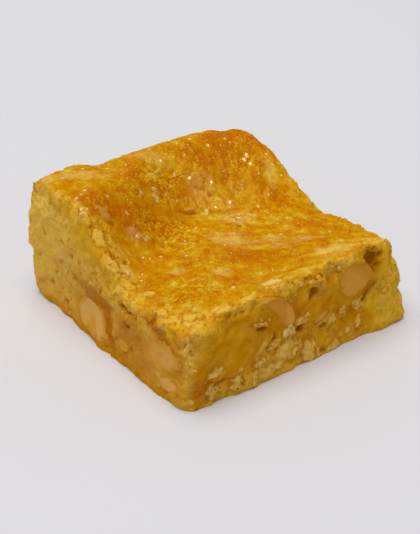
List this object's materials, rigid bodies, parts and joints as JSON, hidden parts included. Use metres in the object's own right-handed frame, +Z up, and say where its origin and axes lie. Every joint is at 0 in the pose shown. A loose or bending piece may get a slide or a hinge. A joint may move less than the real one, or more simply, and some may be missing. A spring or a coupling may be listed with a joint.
{
  "type": "blondie",
  "caption": "Square cut of pale baked blondie cake with crumbly cut sides, a glossy wrinkled golden top that climbs to a high rim, and macadamias showing at the cuts.",
  "frame": {"origin": "middle of the flat base, on the surface that it rests on", "axes": "+Z up; +Y towards the high rim; -Y and -X are the two cut sides that the picture shows"},
  "size_m": [0.0654, 0.066, 0.0305],
  "materials": {
    "baked_cake": "golden baked crumb: glossy wrinkled crust on top, crumbly and moist at the cuts",
    "macadamia": "smooth cut macadamia, slightly waxy"
  },
  "bodies": {
    "root": {"cake": "baked_cake", "nut_left_rear": "macadamia", "nut_left_front": "macadamia", "nut_front_middle": "macadamia", "nut_front_right": "macadamia", "nut_far_right_low": "macadamia", "nut_far_right_high": "macadamia", "nut_far_left_high": "macadamia", "nut_far_left_low": "macadamia", "chip_left_front": "macadamia", "chip_left_middle": "macadamia", "chip_front_middle": "macadamia"}
  },
  "joints": []
}
